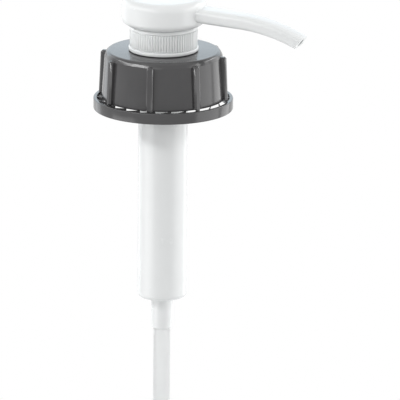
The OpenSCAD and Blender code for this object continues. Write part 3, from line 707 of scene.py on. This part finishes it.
# Pump head
# A hollow drum of white polypropylene with a heavily rounded foot, moulded in one with the bent nozzle.
# Its hub is pressed on the stem, and two lugs on the hub catch under the guide's ledges.
head_r = 23.4 * mm
head_foot = 20.1 * mm
head_foot_round = 4.2 * mm
head_top = 35.2 * mm
head_top_round = 4.4 * mm
head_wall = 1.9 * mm
head_in_r = head_r - head_wall
head_floor = head_foot + head_wall
head_floor_round = head_foot_round - head_wall
head_shoulder_round = 0.8 * mm
head_mouth_r = 18.6 * mm
cover_z = 33.0 * mm
head_lip_r = head_mouth_r - head_wall / 2
head_lip_z = cover_z - head_wall / 2
hub_r = 9.2 * mm
hub_foot = 6.3 * mm
hub_root_round = 0.6 * mm
chamber_r = 4.6 * mm
stem_r = 5.63 * mm
stem_top = 23.8 * mm
nozzle_z = 27.4 * mm
nozzle_dip = math.radians(3)
nozzle_straight = 47.0 * mm
nozzle_reach = 81.6 * mm
nozzle_run = (nozzle_straight - head_r) / math.cos(nozzle_dip)
nozzle_bend_r = 95.0 * mm
tip_slope = math.asin((nozzle_reach - nozzle_straight) / nozzle_bend_r + math.sin(nozzle_dip))
nozzle_bend = tip_slope - nozzle_dip
nozzle_root_w = 15.5 * mm
nozzle_root_h = 8.0 * mm
nozzle_tip_w = 11.0 * mm
nozzle_tip_h = 7.6 * mm
nozzle_sink = 2.27 * mm
nozzle_bore_r = 2.3 * mm
nozzle_steps = 48
tip_cut = math.radians(10)
side_squareness = 3.6
top_squareness = 4.0
under_squareness = 3.0
section_points = 72
lug_r = 10.2 * mm
lug_root_r = hub_r - 0.3 * mm
lug_h = 2.0 * mm
lug_arc = math.radians(50)
lug_steps = 6
lug_bevel = 0.15 * mm

drum = turned_piece("drum", [
    (stem_r, hub_foot, edge), (hub_r, hub_foot, soft_edge), (hub_r, head_foot, hub_root_round),
    (head_r, head_foot, head_foot_round), (head_r, head_top, head_top_round),
    (head_mouth_r, head_top, sharp_edge), (head_mouth_r, cover_z, 0), (head_lip_r, cover_z, 0),
    (head_lip_r, head_lip_z, fine_edge), (head_in_r, head_lip_z, head_shoulder_round),
    (head_in_r, head_floor, head_floor_round), (hub_r, head_floor, full_edge), (hub_r, cover_z, 0),
    (chamber_r, cover_z, 0), (chamber_r, stem_top, 0), (stem_r, stem_top, 0)],
    white_plastic, steps=192, rounding_steps=12)


def nozzle_tree():
    """Sweeps two outlines along the nozzle's path, which dips from the head's wall, straight at first, and
    then bends down to the slanting cut of the tip. The grid's columns run out along the skin, back along
    the bore and close on the first one, and its last row closes on the first row."""
    tree, entry = new_tree("nozzle", {
        "Section points": "NodeSocketInt", "Steps": "NodeSocketInt", "Wall radius": "NodeSocketFloat",
        "Height": "NodeSocketFloat", "Dip": "NodeSocketFloat", "Run": "NodeSocketFloat",
        "Bend radius": "NodeSocketFloat", "Bend": "NodeSocketFloat", "Sink": "NodeSocketFloat",
        "Width taper": "NodeSocketFloat", "Height taper": "NodeSocketFloat", "Tip cut": "NodeSocketFloat"})
    points = entry.other("Section points")
    steps = entry.other("Steps")
    dip = entry.other("Dip")
    run = entry.other("Run")
    bend_r = entry.other("Bend radius")
    sink = entry.other("Sink")
    grid, row, column = point_grid(tree, points + 1, steps * 2 + 3)
    inward = (column > steps + 0.5) * (column < steps * 2 + 1.5)
    once_round = row - (row > points - 0.5) * points
    across = outline_point(tree, entry, once_round + inward * points)
    step = column + inward * (steps * 2 + 1 - column * 2)
    step = step * (column < steps * 2 + 1.5)
    length = run + bend_r * entry.other("Bend")
    along = step / steps * (length + sink) - sink
    straight = along.maths("MINIMUM", run)
    slope = dip + (along - straight) / bend_r
    out = entry.other("Wall radius") + straight * dip.maths("COSINE")
    out = out + bend_r * (slope.maths("SINE") - dip.maths("SINE"))
    height = entry.other("Height") - straight * dip.maths("SINE")
    height = height - bend_r * (dip.maths("COSINE") - slope.maths("COSINE"))
    share = (along / length).held() * (1 - inward)
    up = across.other("Z") * (1 - share * entry.other("Height taper"))
    sideways = across * (1 - share * entry.other("Width taper"))
    leaning = slope + (step > steps - 0.5) * entry.other("Tip cut")
    out = out + up * leaning.maths("SINE")
    height = height + up * leaning.maths("COSINE")
    close_grid(tree, entry, grid, out, sideways, height)
    return tree


def bulged(value, squareness):
    """A sine or cosine drawn out towards the corners of a rounded square."""
    return math.copysign(abs(value) ** (2 / squareness), value)


skin_outline = []
bore_outline = []
for k in range(section_points):
    a = 2 * math.pi * k / section_points
    squareness = top_squareness if math.sin(a) > 0 else under_squareness
    skin_outline.append(Vector((bulged(math.cos(a), side_squareness) * nozzle_root_w / 2,
                                bulged(math.sin(a), squareness) * nozzle_root_h / 2)))
    bore_outline.append(Vector((math.cos(a), math.sin(a))) * nozzle_bore_r)
nozzle = run_tree("nozzle", profile_mesh(skin_outline + bore_outline), nozzle_tree(), {
    "Section points": section_points, "Steps": nozzle_steps, "Wall radius": head_r, "Height": nozzle_z,
    "Dip": nozzle_dip, "Run": nozzle_run, "Bend radius": nozzle_bend_r, "Bend": nozzle_bend,
    "Sink": nozzle_sink, "Width taper": 1 - nozzle_tip_w / nozzle_root_w,
    "Height taper": 1 - nozzle_tip_h / nozzle_root_h, "Tip cut": tip_cut}, white_plastic)

lug_angles = [lug_arc * (k / lug_steps - 0.5) for k in range(lug_steps + 1)]
lug_plan = [(r * math.cos(a * way), r * math.sin(a * way))
            for r, way in ((lug_root_r, 1), (lug_r, -1)) for a in lug_angles]
lug = bevelled_prism("lug", lug_plan, lying, hub_foot, hub_foot + lug_h, lug_bevel)
lugs = run_tree("lugs", lug, ringing, {"Count": 2, "First angle": math.pi / 2}, white_plastic)

head = joined("pump_head", [drum, nozzle, lugs])
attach(head, "head")
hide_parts("head_body")


# Head cover
# A white polypropylene disc snapped into the top of the head, dished for the palm.
# The plug below it closes the chamber in the hub and stops the outlet ball.
cover_r = 18.57 * mm
cover_snap_r = 17.62 * mm
cover_snap_in_r = cover_snap_r - head_wall
cover_snap_z = cover_z - 2.0 * mm
cover_plug_r = chamber_r - 0.05 * mm
cover_plug_z = 30.09 * mm
dish_depth = 0.9 * mm
dish_r = 16.67 * mm
dish_steps = 10

dish = []
for k in range(dish_steps + 1):
    share = 1 - k / dish_steps
    dish.append((dish_r * share, head_top - dish_depth * (1 - share ** 2), 0))
cover = turned_piece("palm_cover", [
    (0, cover_plug_z, 0), (cover_plug_r, cover_plug_z, fine_edge), (cover_plug_r, cover_z, 0),
    (cover_snap_in_r, cover_z, 0), (cover_snap_in_r, cover_snap_z, fine_edge),
    (cover_snap_r, cover_snap_z, fine_edge), (cover_snap_r, cover_z, 0), (cover_r, cover_z, 0),
    (cover_r, head_top, sharp_edge)] + dish, white_plastic, steps=160)
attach(cover, "head")
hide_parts("head_cover")


# Studio
# A pale round table top under the tube's end, soft lamps round the object and a white surround.
# The narrow strips give the thin bright lines on the grey cap's edges.
azimuth = math.radians(23)
elevation = math.radians(14.8)
to_right = Vector((math.cos(azimuth), math.sin(azimuth), 0))
to_camera = Vector((math.sin(azimuth), -math.cos(azimuth), 0))
upwards = Vector((0, 0, 1))
middle = Vector((0, 0, -80 * mm))
table_r = 200 * mm
table_sides = 96
table_z = dip_foot - 0.5 * mm

table_top = bmesh.new()
bmesh.ops.create_circle(table_top, cap_ends=True, segments=table_sides, radius=table_r)
table_mesh = bpy.data.meshes.new("table_top")
table_top.to_mesh(table_mesh)
table_top.free()
for vertex in table_mesh.vertices:
    vertex.co.z = table_z
table_mesh.materials.append(moulded_plastic("pale table", (0.84, 0.84, 0.84), (0.82, 0.82, 0.82),
                                            roughness=0.6, grain=0.05))
table = bpy.data.objects.new("table_top", table_mesh)
bpy.context.scene.collection.objects.link(table)


def beside(turn, height, distance=1.0):
    """A place round the object, by its turn from the camera's side to the right, and its height."""
    a = math.radians(turn)
    forwards = to_camera * (distance * math.cos(a))
    sideways = to_right * (distance * math.sin(a))
    return middle + forwards + sideways + upwards * height


def soft_lamp(name, place, size, power, colour=(1, 1, 1)):
    """A rectangular lamp that faces the object and isn't seen through clear plastic."""
    data = bpy.data.lights.new(name, "AREA")
    data.shape = "RECTANGLE"
    data.size, data.size_y = size
    data.energy = power
    data.color = colour
    lamp = bpy.data.objects.new(name, data)
    lamp.location = place
    lamp.visible_transmission = False
    lamp.rotation_euler = (middle - place).to_track_quat("-Z", "Y").to_euler()
    bpy.context.scene.collection.objects.link(lamp)


soft_lamp("right lamp", beside(80, 0.1, 1.1), size=(1.0, 1.4), power=6.6)
soft_lamp("right back strip", beside(124, 0.1), size=(0.5, 1.2), power=2.6)
soft_lamp("left back strip", beside(-136, 0.1), size=(0.4, 1.2), power=1.2, colour=(0.9, 0.95, 1.0))
soft_lamp("right high strip", beside(105, 0.62, 0.9), size=(1.2, 0.12), power=2.3)
soft_lamp("left high strip", beside(-85, 0.60, 0.9), size=(0.9, 0.12), power=2.4)
soft_lamp("front left strip", beside(-50, 0.72, 0.9), size=(0.6, 0.12), power=2.8)
soft_lamp("left low lamp", beside(-70, -0.5, 0.9), size=(0.8, 0.6), power=2.6)
soft_lamp("top lamp", beside(0, 1.0, 0.1), size=(1.0, 1.0), power=0.4)
soft_lamp("back lamp", beside(180, 0.38), size=(1.6, 0.4), power=1.54, colour=(0.62, 0.84, 1.0))
soft_lamp("front lamp", beside(-25, 0.55, 1.1), size=(0.8, 0.6), power=1.9)

fill = 0.40  # strength of the surround as a light. It is 1 where the surround is seen, mirrored or bent
surround = bpy.data.worlds.new("white surround")
surround.use_nodes = True
bpy.context.scene.world = surround
sky = surround.node_tree
seen = add_node(sky, "ShaderNodeLightPath", {}, {}, "Is Camera Ray")
bent = seen.other("Is Glossy Ray").maths("MAXIMUM", seen.other("Is Transmission Ray"))
plain = seen.maths("MAXIMUM", bent)
sky.links.new((fill + plain * (1 - fill)).socket, sky.nodes["Background"].inputs["Strength"])
sky.nodes["Background"].inputs["Color"].default_value = (1, 1, 1, 1)

pixel = 0.55 * mm
axis_x = 162.6  # pixel column of the pump's axis, halfway up the picture
cap_top_y = 50.3  # pixel row of the middle of the cap's top
roll = math.radians(0.4)
lens = 1500.0
sensor = 36.0
picture = 400
distance = picture * pixel / 2 / (sensor / 2 / lens)
to_lens = to_camera * math.cos(elevation) + upwards * math.sin(elevation)
aim = to_right * ((picture / 2 - axis_x) * pixel)
aim += upwards * (cap_top - (picture / 2 - cap_top_y) * pixel / math.cos(elevation))
camera_data = bpy.data.cameras.new("camera")
camera_data.lens = lens
camera_data.sensor_width = sensor
camera_data.clip_end = 60
camera = bpy.data.objects.new("camera", camera_data)
camera.location = aim + to_lens * distance
level = (-to_lens).to_track_quat("-Z", "Y")
camera.rotation_euler = (Quaternion(to_lens, roll) @ level).to_euler()
bpy.context.scene.collection.objects.link(camera)
bpy.context.scene.camera = camera
bpy.context.scene.view_settings.view_transform = "Standard"
